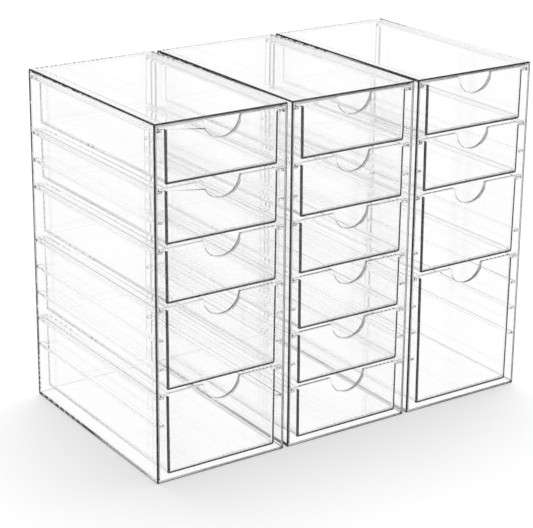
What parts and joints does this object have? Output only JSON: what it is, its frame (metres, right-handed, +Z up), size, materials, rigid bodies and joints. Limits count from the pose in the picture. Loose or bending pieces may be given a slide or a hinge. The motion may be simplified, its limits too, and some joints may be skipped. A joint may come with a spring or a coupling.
{
  "type": "drawer organizer",
  "caption": "Clear acrylic drawer organizer: free-standing towers side by side, with hanging drawers of several heights and half-round finger notches.",
  "frame": {"origin": "middle of the footprint of the row, on the surface that the towers stand on", "axes": "+X along the row to the right as seen from the front, -Y out of the drawer fronts, +Z up"},
  "size_m": [0.3258, 0.1814, 0.26],
  "materials": {
    "tower_acrylic": "clear polished moulding",
    "drawer_acrylic": "clear polished moulding"
  },
  "bodies": {
    "left_tower": {"left_tower_shell": "tower_acrylic"},
    "middle_tower": {"middle_tower_shell": "tower_acrylic"},
    "right_tower": {"right_tower_shell": "tower_acrylic"},
    "left_drawer_1": {"left_drawer_1": "drawer_acrylic"},
    "left_drawer_2": {"left_drawer_2": "drawer_acrylic"},
    "left_drawer_3": {"left_drawer_3": "drawer_acrylic"},
    "left_drawer_4": {"left_drawer_4": "drawer_acrylic"},
    "left_drawer_5": {"left_drawer_5": "drawer_acrylic"},
    "middle_drawer_1": {"middle_drawer_1": "drawer_acrylic"},
    "middle_drawer_2": {"middle_drawer_2": "drawer_acrylic"},
    "middle_drawer_3": {"middle_drawer_3": "drawer_acrylic"},
    "middle_drawer_4": {"middle_drawer_4": "drawer_acrylic"},
    "middle_drawer_5": {"middle_drawer_5": "drawer_acrylic"},
    "middle_drawer_6": {"middle_drawer_6": "drawer_acrylic"},
    "right_drawer_1": {"right_drawer_1": "drawer_acrylic"},
    "right_drawer_2": {"right_drawer_2": "drawer_acrylic"},
    "right_drawer_3": {"right_drawer_3": "drawer_acrylic"},
    "right_drawer_4": {"right_drawer_4": "drawer_acrylic"}
  },
  "joints": [
    {"name": "left_tower_slide", "type": "slide", "parent": "middle_tower", "child": "left_tower", "axis": [-1, 0, 0], "range_m": [-0.003, 0.1]},
    {"name": "right_tower_slide", "type": "slide", "parent": "middle_tower", "child": "right_tower", "axis": [1, 0, 0], "range_m": [-0.003, 0.1]},
    {"name": "left_drawer_1_slide", "type": "slide", "parent": "left_tower", "child": "left_drawer_1", "axis": [0, -1, 0], "range_m": [0, 0.15]},
    {"name": "left_drawer_2_slide", "type": "slide", "parent": "left_tower", "child": "left_drawer_2", "axis": [0, -1, 0], "range_m": [0, 0.15]},
    {"name": "left_drawer_3_slide", "type": "slide", "parent": "left_tower", "child": "left_drawer_3", "axis": [0, -1, 0], "range_m": [0, 0.15]},
    {"name": "left_drawer_4_slide", "type": "slide", "parent": "left_tower", "child": "left_drawer_4", "axis": [0, -1, 0], "range_m": [0, 0.15]},
    {"name": "left_drawer_5_slide", "type": "slide", "parent": "left_tower", "child": "left_drawer_5", "axis": [0, -1, 0], "range_m": [0, 0.15]},
    {"name": "middle_drawer_1_slide", "type": "slide", "parent": "middle_tower", "child": "middle_drawer_1", "axis": [0, -1, 0], "range_m": [0, 0.15]},
    {"name": "middle_drawer_2_slide", "type": "slide", "parent": "middle_tower", "child": "middle_drawer_2", "axis": [0, -1, 0], "range_m": [0, 0.15]},
    {"name": "middle_drawer_3_slide", "type": "slide", "parent": "middle_tower", "child": "middle_drawer_3", "axis": [0, -1, 0], "range_m": [0, 0.15]},
    {"name": "middle_drawer_4_slide", "type": "slide", "parent": "middle_tower", "child": "middle_drawer_4", "axis": [0, -1, 0], "range_m": [0, 0.15]},
    {"name": "middle_drawer_5_slide", "type": "slide", "parent": "middle_tower", "child": "middle_drawer_5", "axis": [0, -1, 0], "range_m": [0, 0.15]},
    {"name": "middle_drawer_6_slide", "type": "slide", "parent": "middle_tower", "child": "middle_drawer_6", "axis": [0, -1, 0], "range_m": [0, 0.15]},
    {"name": "right_drawer_1_slide", "type": "slide", "parent": "right_tower", "child": "right_drawer_1", "axis": [0, -1, 0], "range_m": [0, 0.15]},
    {"name": "right_drawer_2_slide", "type": "slide", "parent": "right_tower", "child": "right_drawer_2", "axis": [0, -1, 0], "range_m": [0, 0.15]},
    {"name": "right_drawer_3_slide", "type": "slide", "parent": "right_tower", "child": "right_drawer_3", "axis": [0, -1, 0], "range_m": [0, 0.15]},
    {"name": "right_drawer_4_slide", "type": "slide", "parent": "right_tower", "child": "right_drawer_4", "axis": [0, -1, 0], "range_m": [0, 0.15]}
  ]
}
